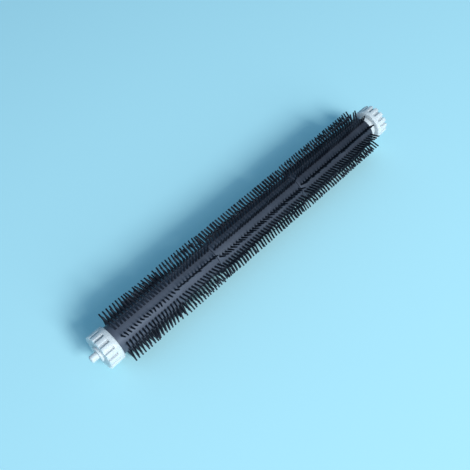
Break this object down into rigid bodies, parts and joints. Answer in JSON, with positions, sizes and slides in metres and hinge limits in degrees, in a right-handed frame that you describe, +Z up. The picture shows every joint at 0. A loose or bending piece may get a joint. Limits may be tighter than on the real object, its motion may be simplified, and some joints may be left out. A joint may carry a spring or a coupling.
{
  "type": "pool cleaner brush",
  "caption": "Cylindrical roller brush: soft black bristle sleeves end to end on a core tube, with a white toothed drive gear and an axle pin at each end.",
  "frame": {"origin": "on the roller's axis, midway between its two ends", "axes": "+X along the roller's axis, towards the right-hand gear; +Z up, with the brush lying on its bristle tips"},
  "size_m": [0.3954, 0.0514, 0.0514],
  "materials": {
    "bristle_rubber": "soft satin black",
    "core_plastic": "matt black",
    "gear_plastic": "smooth white moulding"
  },
  "bodies": {
    "root": {"brush_sleeve_left": "bristle_rubber", "brush_sleeve_middle": "bristle_rubber", "brush_sleeve_right": "bristle_rubber", "core_tube": "core_plastic", "drive_gear_left": "gear_plastic", "drive_gear_right": "gear_plastic"}
  },
  "joints": []
}
